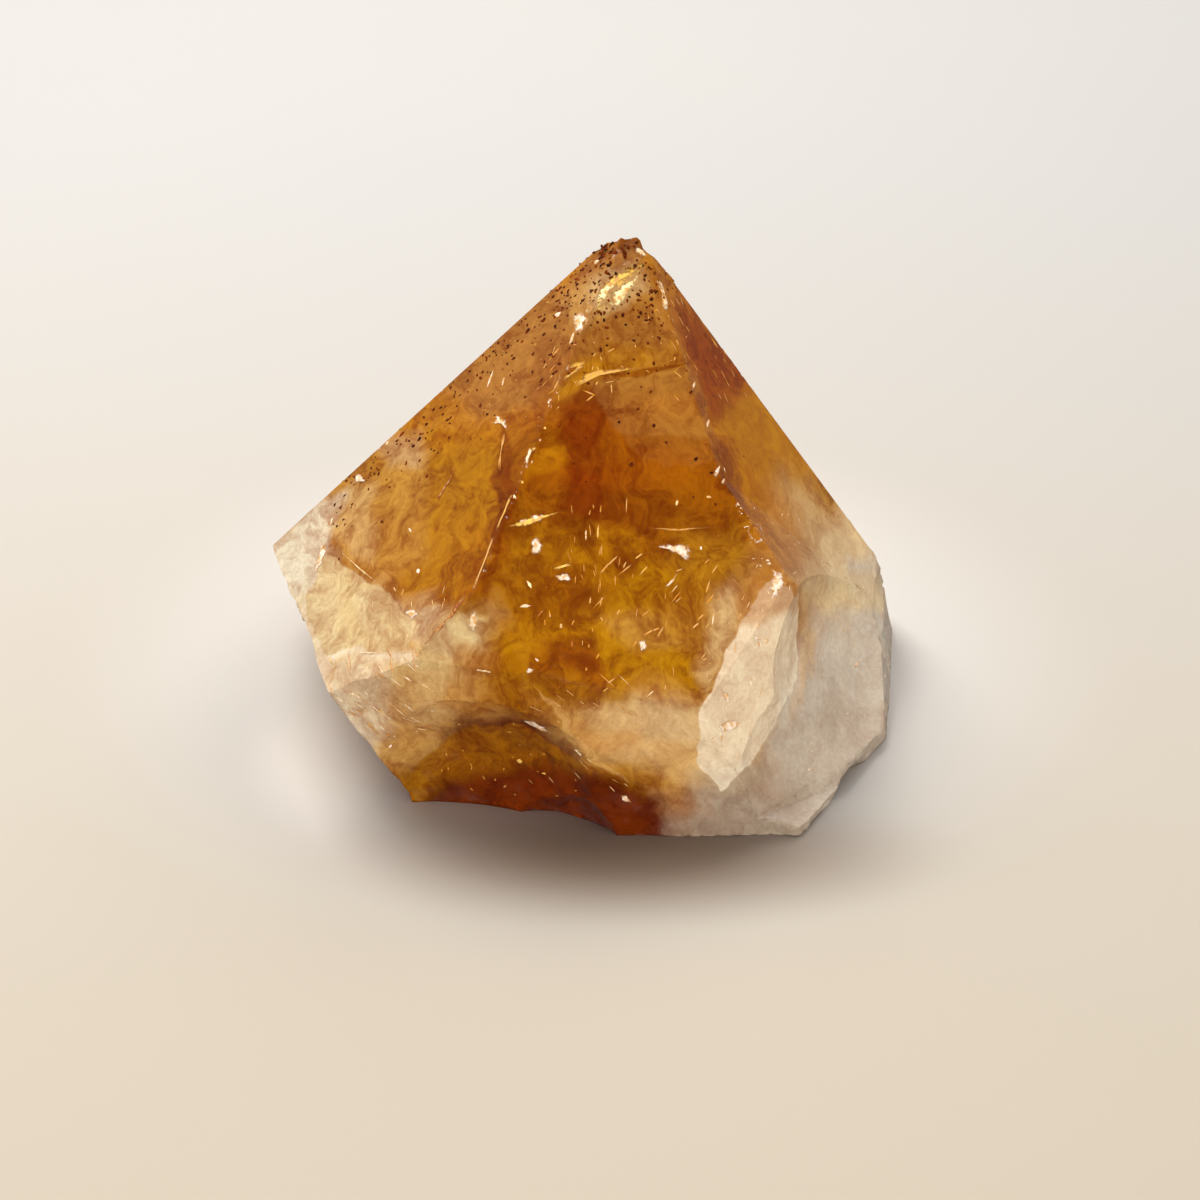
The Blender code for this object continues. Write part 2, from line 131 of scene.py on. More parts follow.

# Soft-sided hazes in the quartz, laid one over the other: corners, colour, strength, softness of the
# sides in millimetres, and how cloudy the quartz is there. Some are painted light and shade: a painted
# sheen on the tip's frosted skin, and painted shade on the foot, the trough, the flange and the right
# face.
HAZES = {
    "left_glow": (
        ((334, 500), (392, 450), (426, 440), (424, 560), (385, 585), (335, 548)),
        "sand", 0.5, 0.8, 0.68),
    "left_bright": (
        ((340, 490), (372, 478), (378, 560), (350, 556), (335, 530)), "pale", 0.6, 0.7, 0.72),
    "column": (
        ((464, 436), (500, 430), (494, 500), (480, 548), (462, 545), (460, 470)),
        "gold", 0.4, 0.5, 0.55),
    "left_pink": (((380, 436), (421, 432), (420, 462), (384, 466)), "blush", 0.35, 0.7, 0.65),
    "core_gold": (((532, 424), (562, 420), (566, 462), (530, 474)), "gold", 0.5, 0.6, 0.55),
    "core_band": (
        ((562, 398), (612, 390), (622, 440), (630, 560), (590, 590), (562, 520)),
        "rust", 0.5, 1.0, 0.45),
    "core_left": (((524, 474), (562, 470), (566, 512), (522, 512)), "orange", 0.5, 0.6, 0.5),
    "streaks": (((520, 520), (612, 512), (606, 560), (560, 570), (515, 552)), "gold", 0.3, 0.8, 0.5),
    "block_left": (
        ((540, 575), (575, 570), (596, 600), (570, 624), (500, 622)), "orange", 0.7, 0.9, 0.5),
    "dark_right": (((600, 540), (644, 545), (644, 590), (604, 596)), "rust", 0.25, 0.6, 0.5),
    "basin": (
        ((600, 610), (640, 560), (705, 580), (722, 640), (668, 704), (610, 700), (596, 650)),
        "gold", 0.75, 0.8, 0.5),
    "right_band": (
        ((718, 450), (724, 446), (765, 492), (770, 520), (745, 505), (732, 478)),
        "umber", 0.5, 0.5, 0.8),
    "orange_low": (
        ((535, 632), (590, 630), (612, 690), (600, 706), (560, 700), (530, 670)),
        "orange", 0.85, 0.7, 0.55),
    "low_gold": (
        ((486, 622), (640, 606), (700, 600), (690, 640), (600, 650), (540, 690), (500, 690)),
        "gold", 0.5, 0.9, 0.6),
    "low_haze": (((600, 612), (700, 604), (735, 610), (715, 640), (630, 650)), "sand", 0.3, 0.8, 0.65),
    # Painted sheen: the frosted skin of the upper front face with the pale room reflected on it.
    "tip_front": (
        ((556, 305), (600, 258), (655, 268), (672, 320), (692, 366), (612, 366), (575, 382)),
        "clay_and_sheen", 0.45, 0.6, 0.65),
    "scoop_rim": (
        ((296, 655), (338, 660), (366, 740), (400, 806), (372, 812), (320, 740)),
        "blush", 0.7, 0.7, 0.85),
    "pale_streak": (((356, 590), (376, 596), (380, 640), (362, 640)), "ivory", 0.55, 0.7, 0.7),
    "tan_streak": (((340, 588), (354, 592), (358, 636), (346, 636)), "sand", 0.55, 0.5, 0.7),
    "pink_patch": (((384, 604), (412, 616), (418, 645), (392, 648)), "sand", 0.6, 0.6, 0.7),
    "left_band": (((300, 520), (350, 480), (335, 520), (318, 575), (305, 590)), "blush", 0.8, 0.5, 0.7),
    "step_lip": (((330, 650), (410, 647), (412, 661), (332, 664)), "ivory", 0.8, 0.4, 0.85),
    "scoop_light": (
        ((340, 660), (440, 662), (480, 690), (430, 735), (380, 720)), "pale", 0.55, 1.2, 0.75),
    "haze_right": (
        ((712, 600), (738, 585), (746, 600), (732, 640), (706, 690), (698, 660)),
        "cream", 0.55, 0.8, 0.75),
    "ridge_haze": (
        ((745, 505), (800, 530), (830, 600), (790, 620), (760, 590)), "clay_and_sheen", 0.65, 1.3, 0.85),
    "trough_edge": (
        ((798, 600), (812, 640), (800, 700), (785, 728), (796, 664)), "sand", 0.5, 0.6, 0.9),
    "cloud_soft": (
        ((592, 712), (640, 700), (704, 738), (690, 770), (640, 762), (604, 740)),
        "cream", 0.3, 0.9, 0.9),
    "cloud_bright": (
        ((640, 745), (700, 740), (722, 770), (712, 792), (676, 784)), "sand", 0.7, 0.9, 0.85),
    "facet_top": (((752, 612), (774, 582), (788, 592), (786, 650), (756, 655)), "sand", 0.7, 0.6, 0.85),
    "foot_gold": (((584, 752), (640, 768), (700, 796), (690, 815), (630, 800)), "gold", 0.7, 0.8, 0.6),
    "foot_grey": (((650, 800), (740, 790), (790, 836), (660, 836)), "lilac", 0.5, 1.5, 0.85),
    "foot_brown": (((625, 792), (712, 800), (716, 840), (630, 840)), "brown", 0.5, 1.0, 0.7),
    "foot_shade": (
        ((700, 770), (760, 756), (810, 780), (800, 838), (690, 838)), "shaded_milk", 0.7, 1.2, 0.85),
    "flange": (
        ((846, 560), (880, 570), (902, 620), (902, 740), (868, 770), (852, 680)),
        "lilac", 0.85, 0.8, 0.93),
    "scoop_left": (
        ((316, 662), (425, 664), (414, 716), (392, 730), (396, 800), (372, 808), (325, 740)),
        "ivory", 0.6, 0.8, 0.75),
    "left_ledge": (((295, 600), (330, 592), (346, 660), (322, 690)), "blush", 0.7, 0.7, 0.8),
    "square": (((424, 431), (453, 429), (454, 466), (430, 468)), "gold", 0.75, 0.22, 0.5),
    "notch": (
        ((441, 625), (466, 606), (482, 620), (478, 642), (440, 650), (426, 642)),
        "pale", 0.6, 0.35, 0.7),
    "right_top": (((662, 280), (700, 325), (758, 385), (738, 405), (716, 452)), "rust", 0.45, 1.3, 0.7),
    "right_window": (
        ((742, 402), (757, 388), (806, 462), (790, 500), (752, 474), (723, 438)),
        "olive", 0.8, 0.5, 0.8),
    # Painted sheen on the frosted skin at the very tip.
    "tip_brown": (((560, 286), (600, 244), (650, 244), (640, 262), (585, 300)), "clay_and_sheen", 0.6, 0.6, 0.7),
    "tip_edge": (((470, 330), (560, 250), (600, 240), (580, 275), (490, 345)), "brown", 0.45, 0.5, 0.6),
    "arc_band": (((546, 396), (560, 366), (600, 356), (622, 364), (580, 384)), "gold", 0.7, 0.4, 0.6),
    "under_arc": (((556, 398), (600, 384), (612, 420), (590, 450), (548, 440)), "rust", 0.6, 0.5, 0.5),
    "core_dark": (
        ((566, 430), (600, 424), (622, 470), (700, 480), (712, 520), (600, 526), (562, 500)),
        "rust", 0.8, 0.8, 0.5),
    "scoop_wedge": (((484, 676), (520, 680), (552, 712), (566, 730), (520, 706)), "tan", 0.5, 0.4, 0.6),
    "brown_block": (
        ((466, 650), (500, 652), (528, 662), (524, 670), (466, 668)), "orange", 0.4, 0.3, 0.5),
    # Golden quartz with painted shade beside the right ridge.
    "right_shaded_gold": (
        ((724, 448), (752, 474), (796, 522), (790, 556), (758, 546), (738, 505)),
        "brown", 0.85, 1.1, 0.85),
    "left_shoulder": (
        ((330, 505), (400, 440), (440, 400), (424, 430), (352, 488), (338, 530)),
        "sand", 0.4, 0.7, 0.65),
    "basin_glow": (
        ((655, 590), (690, 580), (722, 560), (716, 620), (690, 640), (660, 630)),
        "honey", 0.6, 0.8, 0.55),
    # Painted sheen on the frosted skin left of the tip.
    "tip_left": (
        ((440, 395), (500, 320), (556, 268), (572, 320), (566, 372), (530, 410), (480, 420)),
        "clay_and_sheen", 0.7, 1.0, 0.66),
    "ridge_left": (
        ((540, 402), (556, 414), (534, 474), (520, 534), (520, 592), (440, 606), (478, 530), (506, 450)),
        "orange", 0.75, 0.6, 0.5),
    "low_dark": (((540, 640), (590, 632), (606, 668), (560, 680)), "rust", 0.6, 0.5, 0.5),
    # Painted shade on the lower part of the trough, near the floor.
    "trough_low_shade": (
        ((740, 745), (800, 706), (880, 706), (900, 760), (840, 800), (790, 836), (700, 836)),
        "shaded_milk", 0.4, 2.0, 0.9),
    "basin_left": (
        ((520, 590), (560, 586), (590, 620), (560, 640), (500, 640)), "brown", 0.5, 0.8, 0.5),
    "tip_glow": (((585, 302), (600, 280), (640, 266), (650, 296), (610, 318)), "pale", 0.4, 0.6, 0.75),
    "step_pale": (
        ((392, 598), (430, 588), (444, 608), (415, 642), (396, 628)), "ivory", 0.3, 0.5, 0.75),
    "ridge_dark": (
        ((726, 468), (760, 492), (790, 545), (770, 560), (745, 535), (728, 500)),
        "brown", 0.75, 0.6, 0.6),
    "front_right": (
        ((690, 440), (724, 462), (742, 508), (720, 530), (690, 520)), "orange", 0.6, 0.6, 0.5),
    "gold_spot": (((572, 548), (612, 545), (618, 585), (580, 588)), "gold", 0.6, 0.5, 0.6),
    "arc_right": (((604, 340), (650, 345), (650, 366), (604, 366)), "gold", 0.5, 0.5, 0.6),
    "ridge_top": (((530, 384), (548, 380), (556, 400), (540, 450), (524, 440)), "rust", 0.4, 0.5, 0.5),
    "window_dark": (((440, 430), (500, 430), (490, 500), (450, 490)), "brown", 0.4, 0.8, 0.5),
    "flange_top": (((790, 578), (880, 575), (886, 612), (800, 612)), "pale", 0.55, 0.8, 0.9),
    # Painted shade over the milky right face.
    "right_face_shade": (
        ((780, 480), (850, 520), (880, 590), (820, 600), (760, 560)), "shaded_milk", 0.35, 2.0, 0.85),
    "scoop_tan": (((455, 640), (500, 650), (510, 700), (470, 712), (440, 700)), "tan", 0.6, 0.8, 0.65),
    "scoop_brown": (
        ((372, 668), (440, 664), (474, 690), (440, 745), (400, 760), (380, 720)), "tan", 0.3, 0.9, 0.7),
    "low_light": (((490, 672), (570, 668), (600, 700), (560, 712), (500, 704)), "gold", 0.5, 0.7, 0.6),
    "tip_pink": (((556, 300), (590, 285), (602, 322), (575, 335)), "sand", 0.45, 0.6, 0.7),
    "cloud_gold": (((580, 725), (640, 735), (650, 765), (600, 755)), "tan", 0.5, 0.8, 0.8),
    # Painted shade along the foot where it meets the floor.
    "foot_contact_shade": (
        ((640, 822), (740, 824), (800, 830), (800, 848), (640, 848)), "shaded_milk", 0.8, 0.6, 0.85),
    # Painted sheen on the frosted skin right of the tip.
    "skin_right_sheen": (((648, 366), (690, 374), (718, 450), (690, 465), (655, 440)), "tan", 0.4, 0.7, 0.6),
    "ridge_low": (
        ((735, 470), (790, 500), (806, 560), (765, 575), (745, 520)), "brown", 0.4, 0.8, 0.75),
    "gold_right": (((596, 522), (642, 524), (646, 552), (600, 560)), "gold", 0.5, 0.6, 0.6),
    "wedge_low": (
        ((462, 520), (500, 510), (522, 596), (482, 610), (466, 580)), "orange", 0.35, 0.7, 0.5),
    "flange_shade": (((805, 665), (868, 660), (880, 715), (820, 725)), "shaded_milk", 0.35, 1.0, 0.9),
}

# Crisp-sided veils and steps in the quartz, given in the same way.
VEILS = {
    "window": (
        ((398, 431), (424, 430), (505, 428), (513, 446), (490, 556), (470, 592), (415, 607), (393, 597),
         (361, 570), (331, 541), (352, 488)), "honey", 0.4, 0.12, 0.6),
    "left_step": (
        ((326, 538), (361, 570), (393, 597), (416, 612), (400, 650), (330, 656), (300, 600)),
        "pale", 0.8, 0.1, 0.7),
    "wedge": (
        ((505, 430), (517, 450), (515, 492), (492, 556), (486, 545), (496, 472)),
        "rust", 0.65, 0.2, 0.5),
    "lens": (((608, 371), (645, 367), (692, 369), (645, 376)), "orange", 0.8, 0.08, 0.5),
    # Painted sheen: the frosted skin of the front face with the pale room reflected on it.
    "front_skin_sheen": (
        ((580, 386), (612, 375), (688, 373), (728, 462), (640, 466), (618, 430)),
        "clay_and_sheen", 0.42, 0.22, 0.6),
    "core_block": (
        ((600, 440), (738, 440), (742, 500), (716, 529), (606, 529)), "orange", 0.55, 0.22, 0.5),
    "ivory_facet": (
        ((775, 580), (789, 594), (795, 661), (788, 696), (774, 729), (738, 770), (720, 792), (690, 742),
         (698, 720), (705, 692), (717, 668), (730, 633), (744, 616)), "ivory", 0.72, 0.1, 0.92),
    "facet_crown": (
        ((772, 566), (795, 586), (790, 610), (764, 622), (738, 626), (738, 598)),
        "brown", 0.45, 0.5, 0.75),
    "scoop_rib": (
        ((528, 676), (545, 690), (590, 738), (642, 786), (632, 787), (584, 748), (548, 706)),
        "sand", 0.6, 0.08, 0.8),
    "arch": (
        ((418, 793), (420, 752), (447, 740), (468, 722), (524, 728), (586, 760), (652, 797), (646, 840),
         (500, 840)), "brown", 0.75, 0.12, 0.5),
    "arch_foot": (
        ((424, 806), (450, 782), (500, 770), (560, 768), (615, 780), (660, 808), (670, 850), (600, 850),
         (418, 832)), "umber", 0.95, 1.1, 0.5),
}

# Bright flakes with a shape of their own: corners and colour. Most of them are painted flashes, light
# caught on cracks.
FLAKES = (
    (((576, 320), (583, 296), (604, 272), (646, 262), (636, 284), (614, 304), (594, 316)), "flare"),
    (((572, 385), (590, 374), (612, 369), (640, 367), (612, 371), (592, 376), (574, 388)), "arc"),
    (((644, 528), (680, 530), (714, 527), (680, 532)), "honey"),
    (((504, 432), (500, 452), (498, 470), (500, 470), (502, 452), (506, 432)), "honey"),
    (((456, 469), (446, 484), (436, 500), (438, 501), (448, 485)), "rust"),
    (((580, 316), (584, 302), (596, 290), (612, 278), (640, 266), (626, 290), (606, 306)), "flare"),
    (((586, 313), (588, 303), (600, 292), (614, 284), (606, 297), (596, 310)), "flash"),
    (((596, 296), (606, 282), (622, 272), (640, 268), (622, 280), (606, 292)), "flare"),
    (((514, 492), (505, 514), (497, 532), (495, 532), (503, 513), (512, 491)), "arc"),
    (((496, 534), (484, 566), (474, 592), (472, 591), (482, 565), (494, 533)), "sand"),
    (((467, 592), (450, 616), (424, 644), (428, 643), (454, 616), (470, 593)), "rust"),
    (((350, 654), (370, 652), (392, 652), (370, 654)), "chip"),
    (((336, 548), (361, 569), (383, 588), (360, 571)), "pale"),
    (((556, 388), (560, 372), (572, 364), (590, 358), (580, 370), (566, 380)), "arc"),
    (((578, 378), (596, 370), (612, 369), (600, 374), (582, 382)), "arc"),
    (((585, 310), (588, 299), (600, 284), (618, 276), (634, 268), (624, 279), (611, 293), (600, 306),
      (594, 308)), "flare"),
    (((592, 305), (598, 291), (612, 281), (628, 273), (616, 285), (604, 300)), "flash"),
    (((608, 304), (613, 293), (622, 286), (640, 272), (634, 286), (624, 302), (614, 312)), "flash"),
    (((573, 330), (572, 318), (580, 312), (589, 316), (588, 326), (580, 334)), "glint"),
    (((658, 284), (662, 283), (668, 300), (667, 312), (662, 308), (661, 294)), "chip"),
    (((490, 424), (497, 416), (505, 419), (509, 431), (505, 423), (497, 424)), "glint"),
    (((507, 527), (523, 520), (540, 515), (561, 511), (542, 521), (526, 526)), "flare"),
    (((530, 517), (536, 514), (545, 515), (541, 521), (531, 523)), "glint"),
    (((519, 520), (527, 518), (528, 524), (520, 526)), "blush"),
    (((531, 540), (538, 537), (544, 545), (538, 556), (530, 554), (532, 548)), "glint"),
    (((552, 568), (570, 562), (572, 566), (556, 570)), "flare"),
    (((552, 575), (568, 574), (573, 580), (560, 582)), "glint"),
    (((656, 546), (672, 544), (688, 544), (692, 552), (688, 561), (679, 556), (668, 550)), "glint"),
    (((322, 541), (329, 541), (326, 555), (319, 570), (312, 580), (317, 562)), "glint"),
    (((356, 484), (354, 476), (361, 474), (366, 482)), "glint"),
    (((404, 612), (412, 608), (420, 614), (412, 620)), "glint"),
    (((470, 612), (476, 610), (479, 622), (473, 634), (468, 626)), "ivory"),
    (((522, 719), (532, 721), (545, 727), (552, 734), (541, 731), (528, 724)), "glint"),
    (((505, 710), (520, 706), (532, 712), (520, 715)), "blush"),
    (((575, 747), (583, 754), (582, 756), (574, 749)), "chip"),
    (((619, 794), (626, 795), (632, 803), (624, 802)), "glint"),
    (((768, 588), (774, 570), (782, 572), (784, 584), (778, 596), (772, 600)), "glint"),
    (((752, 620), (757, 624), (757, 637), (764, 645), (755, 641), (751, 630)), "glint"),
    (((722, 690), (727, 692), (731, 702), (727, 704), (722, 696)), "glint"),
    (((716, 726), (728, 718), (744, 722), (736, 730), (722, 734)), "glint"),
    (((746, 530), (750, 522), (760, 524), (764, 540), (756, 546), (750, 538)), "glint"),
    (((638, 642), (645, 640), (648, 648), (641, 651)), "glint"),
    (((664, 588), (673, 578), (678, 572), (676, 580), (667, 588)), "blush"),
)

# Bright cracks and bubbles at the surface, painted as glints of light caught on them: middle, length
# and width in steps, turn in degrees, colour.
GLINTS = (
    (558, 314, 12, 6, 0, "glint"), (572, 338, 5, 14, 20, "blush"), (596, 262, 8, 4, -40, "chip"),
    (641, 252, 12, 6, 30, "chip"), (490, 379, 5, 18, 20, "glint"), (503, 382, 4, 10, 15, "blush"),
    (586, 536, 3, 16, 0, "chip"), (598, 532, 3, 20, 5, "flare"), (529, 584, 5, 14, -30, "flash"),
    (677, 503, 4, 10, 15, "flash"), (709, 497, 8, 4, 5, "flash"), (701, 548, 4, 7, 0, "glint"),
    (525, 606, 17, 5, -5, "blush"), (561, 626, 4, 7, 0, "chip"), (331, 522, 4, 9, 10, "glint"),
    (387, 443, 5, 4, 0, "glint"), (418, 571, 6, 6, 0, "glint"), (410, 530, 3, 7, -35, "glint"),
    (530, 671, 9, 5, 0, "glint"), (537, 660, 7, 4, 40, "glint"), (484, 671, 24, 3, 0, "blush"),
    (583, 706, 6, 4, 0, "glint"), (542, 773, 16, 2.5, 2, "flare"), (542, 745, 2.5, 15, 0, "flare"),
    (497, 752, 6, 4, 0, "flare"), (490, 762, 9, 5, 20, "flare"), (519, 761, 10, 5, 5, "flare"),
    (641, 806, 4, 3, 0, "glint"), (390, 747, 8, 5, 20, "glint"), (766, 641, 12, 7, -30, "ivory"),
    (751, 682, 3, 12, 0, "glint"), (713, 619, 3, 20, 8, "chip"), (650, 694, 16, 2, -42, "chip"),
    (885, 676, 7, 2.5, 5, "glint"), (857, 664, 9, 2.5, -30, "glint"), (694, 385, 5, 8, 20, "chip"),
    (708, 423, 5, 10, 20, "chip"), (718, 470, 5, 12, 25, "glint"), (724, 480, 4, 9, 30, "chip"),
    (545, 428, 4, 4, -60, "flare"), (540, 440, 5, 3, -60, "chip"), (534, 449, 5, 3, -50, "flare"),
    (532, 462, 6, 3, -60, "blush"), (522, 482, 4, 5, -30, "flare"), (515, 497, 4, 5, -30, "chip"),
)

# Fine slivers strewn through a box of the view: its left, top, right and bottom, how many, their turn
# and its spread in degrees, their shortest and longest, their width, and the colours to choose from.
# Most slivers are painted glints, light caught on fine cracks and needles.
SLIVERS = (
    ((668, 300, 752, 400), 44, 55, 12, (4, 16), 1.6, ("honey", "gold", "tan", "orange")),
    ((330, 655, 436, 742), 24, 46, 8, (10, 34), 2.2, ("chip", "pale", "ivory", "chip")),
    ((568, 505, 640, 596), 22, 90, 10, (6, 20), 1.3, ("gold", "honey", "gold", "honey")),
    ((600, 556, 722, 642), 22, -46, 12, (8, 22), 2.0, ("arc", "gold", "gold", "sand")),
    ((540, 600, 640, 690), 18, -70, 20, (5, 14), 2.0, ("gold", "gold", "arc", "orange")),
    ((346, 652, 432, 752), 40, 48, 9, (8, 30), 1.6, ("chip", "pale", "tan", "brown")),
    ((436, 716, 604, 796), 46, 20, 70, (3, 8), 1.6, ("arc", "gold", "gold", "honey")),
    ((528, 680, 646, 792), 40, 44, 6, (8, 26), 1.1, ("cream", "pale", "gold", "sand")),
    ((655, 560, 765, 740), 24, -66, 12, (5, 16), 1.2, ("cream", "sand", "gold", "sand")),
    ((700, 600, 790, 760), 24, 70, 60, (3, 9), 1.1, ("ivory", "tan", "sand")),
    ((806, 560, 892, 800), 150, -34, 14, (2, 7), 1.1, ("chip", "ivory")),
    ((530, 300, 690, 372), 24, 10, 80, (2, 6), 1.8, ("arc", "gold", "tan", "orange")),
    ((540, 350, 612, 400), 22, -50, 24, (5, 16), 2.0, ("arc", "gold", "gold")),
    ((430, 330, 560, 420), 26, -40, 30, (2, 6), 1.4, ("sand", "honey", "tan")),
    ((330, 560, 470, 660), 18, 74, 18, (5, 14), 1.3, ("cream", "pale", "sand")),
    ((740, 500, 800, 600), 30, 60, 60, (2, 7), 1.3, ("ivory", "orange", "chip")),
)


class Flow:
    """A socket of a material. Sums written on a value socket add Math nodes."""

    def __init__(self, paint, socket):
        self.paint = paint
        self.socket = socket

    def sum(self, operation, *values):
        settings = {"operation": operation}
        return self.paint.add("ShaderNodeMath", settings, dict(enumerate(values)))

    def __add__(self, other):
        return self.sum("ADD", self, other)

    def __radd__(self, other):
        return self.sum("ADD", other, self)

    def __sub__(self, other):
        return self.sum("SUBTRACT", self, other)

    def __rsub__(self, other):
        return self.sum("SUBTRACT", other, self)

    def __mul__(self, other):
        return self.sum("MULTIPLY", self, other)

    def __rmul__(self, other):
        return self.sum("MULTIPLY", other, self)

    def step(self, low, high):
        """Runs smoothly from 0 at low to 1 at high; low may be the greater."""
        inputs = {"Value": self, "From Min": low, "From Max": high}
        return self.paint.add("ShaderNodeMapRange", {"interpolation_type": "SMOOTHSTEP"}, inputs)


class Paint:
    """A material and the tree of nodes that paints it."""

    def __init__(self, name):
        self.material = bpy.data.materials.new(name)
        self.material.use_nodes = True
        self.tree = self.material.node_tree
        self.tree.nodes.clear()

    @classmethod
    def of(cls, tree):
        """A painter of a tree that is there already."""
        paint = cls.__new__(cls)
        paint.tree = tree
        return paint

    def add(self, kind, settings=None, inputs=None, output=0):
        """Adds a node, sets it, fills its sockets with values or links and gives one output."""
        node = self.tree.nodes.new(kind)
        for name, value in (settings or {}).items():
            setattr(node, name, value)
        for name, value in (inputs or {}).items():
            if isinstance(value, Flow):
                self.tree.links.new(value.socket, node.inputs[name])
            else:
                node.inputs[name].default_value = value
        return Flow(self, node.outputs[output])

    def vector(self, operation, *values):
        """Sums on vectors that give a vector."""
        return self.add("ShaderNodeVectorMath", {"operation": operation}, dict(enumerate(values)))

    def measure(self, operation, *values):
        """Sums on vectors that give a number."""
        return self.add("ShaderNodeVectorMath", {"operation": operation}, dict(enumerate(values)), 1)

    def scaled(self, vector, factor):
        return self.add("ShaderNodeVectorMath", {"operation": "SCALE"}, {0: vector, "Scale": factor})

    def blend(self, factor, low, high):
        """Mixes two colours by a factor from 0 to 1."""
        return self.add("ShaderNodeMix", {"data_type": "RGBA"}, {0: factor, 6: low, 7: high}, output=2)

    def kept(self, layer, output):
        """What a layer keeps on the corners of the mesh: 0 is a colour, 1 a vector, 2 a number."""
        return self.add("ShaderNodeAttribute", {"attribute_name": layer}, output=output)

    def place(self):
        """Where a point lies on the crystal, in millimetres."""
        return self.scaled(self.add("ShaderNodeTexCoord", output=3), 1 / MM)

    def grain(self, place, scale, detail=3.0, roughness=0.55, output=0):
        """Noise as a number, or as a colour from output 1."""
        inputs = {"Vector": place, "Scale": scale, "Detail": detail, "Roughness": roughness}
        return self.add("ShaderNodeTexNoise", {}, inputs, output)

    def warped(self, place, scale, reach, detail=3.0):
        """The place pushed about by noise, so that what is drawn there gets a ragged edge."""
        push = self.vector("SUBTRACT", self.grain(place, scale, detail, output=1), (0.5, 0.5, 0.5))
        return self.vector("ADD", place, self.scaled(push, 2 * reach))

    def pushed(self, place, push, share):
        """The place pushed along by a share of a vector."""
        return self.vector("ADD", place, self.scaled(push, share))

    def ridge(self, place, start, end):
        """The distance from the straight line between two points."""
        along = Vector(end) - Vector(start)
        offset = self.vector("SUBTRACT", place, tuple(start))
        share = self.measure("DOT_PRODUCT", offset, tuple(along / along.length_squared))
        share = share.sum("MINIMUM", share.sum("MAXIMUM", share, 0.0), 1.0)
        foot = self.scaled(self.add("ShaderNodeCombineXYZ", {}, dict(enumerate(along))), share)
        return self.measure("DISTANCE", offset, foot)

    def surface(self, inputs):
        return self.add("ShaderNodeBsdfPrincipled", {}, inputs)

    def finish(self, surface, volume=None):
        """Links what was painted to the material's output."""
        links = {"Surface": surface}
        if volume is not None:
            links["Volume"] = volume
        node = self.tree.nodes.new("ShaderNodeOutputMaterial")
        for name, value in links.items():
            self.tree.links.new(value.socket, node.inputs[name])
        return self.material


def colour(name, description, value):
    return FloatVectorProperty(
        name=name, description=description, subtype="COLOR", size=3, min=0.0, max=1.0, default=value
    )


class CitrineColours(bpy.types.PropertyGroup):
    """Colours of the quartz, its inclusions and the stage."""

    amber: colour("Amber", "Clear quartz through the middle", (0.52, 0.18, 0.003))
    honey: colour("Honey", "Lighter amber of the left face", (0.56, 0.205, 0.008))
    gold: colour("Gold", "Yellow glow low in the front face", (0.62, 0.235, 0.002))
    olive: colour("Olive", "Greenish gold of the right face", (0.45, 0.165, 0.003))
    orange: colour("Orange", "Deep orange under the core", (0.4, 0.095, 0.001))
    rust: colour("Rust", "Darkest part of the core", (0.27, 0.036, 0.0005))
    brown: colour("Brown", "Arch over the hollow at the foot", (0.5, 0.165, 0.001))
    umber: colour("Umber", "Dark hollow at the foot", (0.16, 0.017, 0.0003))
    # Tan on the tip stands for its frosted skin with a painted sheen, the pale room reflected on it;
    # lower down it is plain tan quartz.
    tan: colour("Tan", "Frosted skin of the tip", (0.57, 0.21, 0.02))
    sand: colour("Sand", "Hazy edge of the milky quartz", (0.66, 0.345, 0.095))
    pale: colour("Pale", "Pale corner of the left face", (0.76, 0.53, 0.25))
    blush: colour("Blush", "Pinkish clear rim", (0.8, 0.64, 0.44))
    cream: colour("Cream", "Milky quartz", (0.74, 0.5, 0.24))
    ivory: colour("Ivory", "Crazed pale facet at the right", (0.77, 0.61, 0.42))
    # Painted sheen: the amber of the tip's frosted skin with the pale room reflected on it.
    clay_and_sheen: colour("Clay", "Pinkish brown skin left of the tip", (0.40, 0.155, 0.035))
    # Painted shade: milky quartz darkened where shade falls, at the foot, the trough, the flange and the
    # right face.
    shaded_milk: colour("Smoke", "Shaded milky quartz at the foot", (0.36, 0.255, 0.17))
    lilac: colour("Lilac", "Greyish milky quartz of the trough", (0.54, 0.435, 0.33))
    chip: colour("Chip", "Freshly chipped edges", (0.85, 0.68, 0.46))
    arc: colour("Arc", "Gold caught on a curved veil", (0.72, 0.38, 0.05))
    flare: colour("Flare", "Golden light caught on cracks", (0.88, 0.56, 0.10))
    flash: colour("Flash", "Brightest cracks near the tip", (1.0, 0.88, 0.46))
    glint: colour("Glint", "White cracks and bubbles", (0.88, 0.72, 0.58))
    speck: colour("Speck", "Iron oxide grains", (0.02, 0.006, 0.002))
    floor: colour("Floor", "Plain pale floor", (0.529, 0.5255, 0.523))
    floor_front: colour("Floor in front", "The floor nearest the camera", (0.661, 0.584, 0.472))
    # Painted light: a pale pool on the floor beside the crystal, lifting the shade at its sides.
    floor_light_beside: colour("Floor beside", "The floor next to the pale sides", (0.67, 0.645, 0.615))
    floor_lit: colour("Floor by the ledge", "Light through the pale ledge", (0.93, 0.88, 0.80))
    # Painted shadow on the floor in front of the foot, tinted by the amber light through it.
    floor_amber: colour("Floor under the glow", "Amber light through the foot", (0.27, 0.16, 0.08))
    sky: colour("Sky", "Soft light from all round", (1.0, 0.975, 0.94))


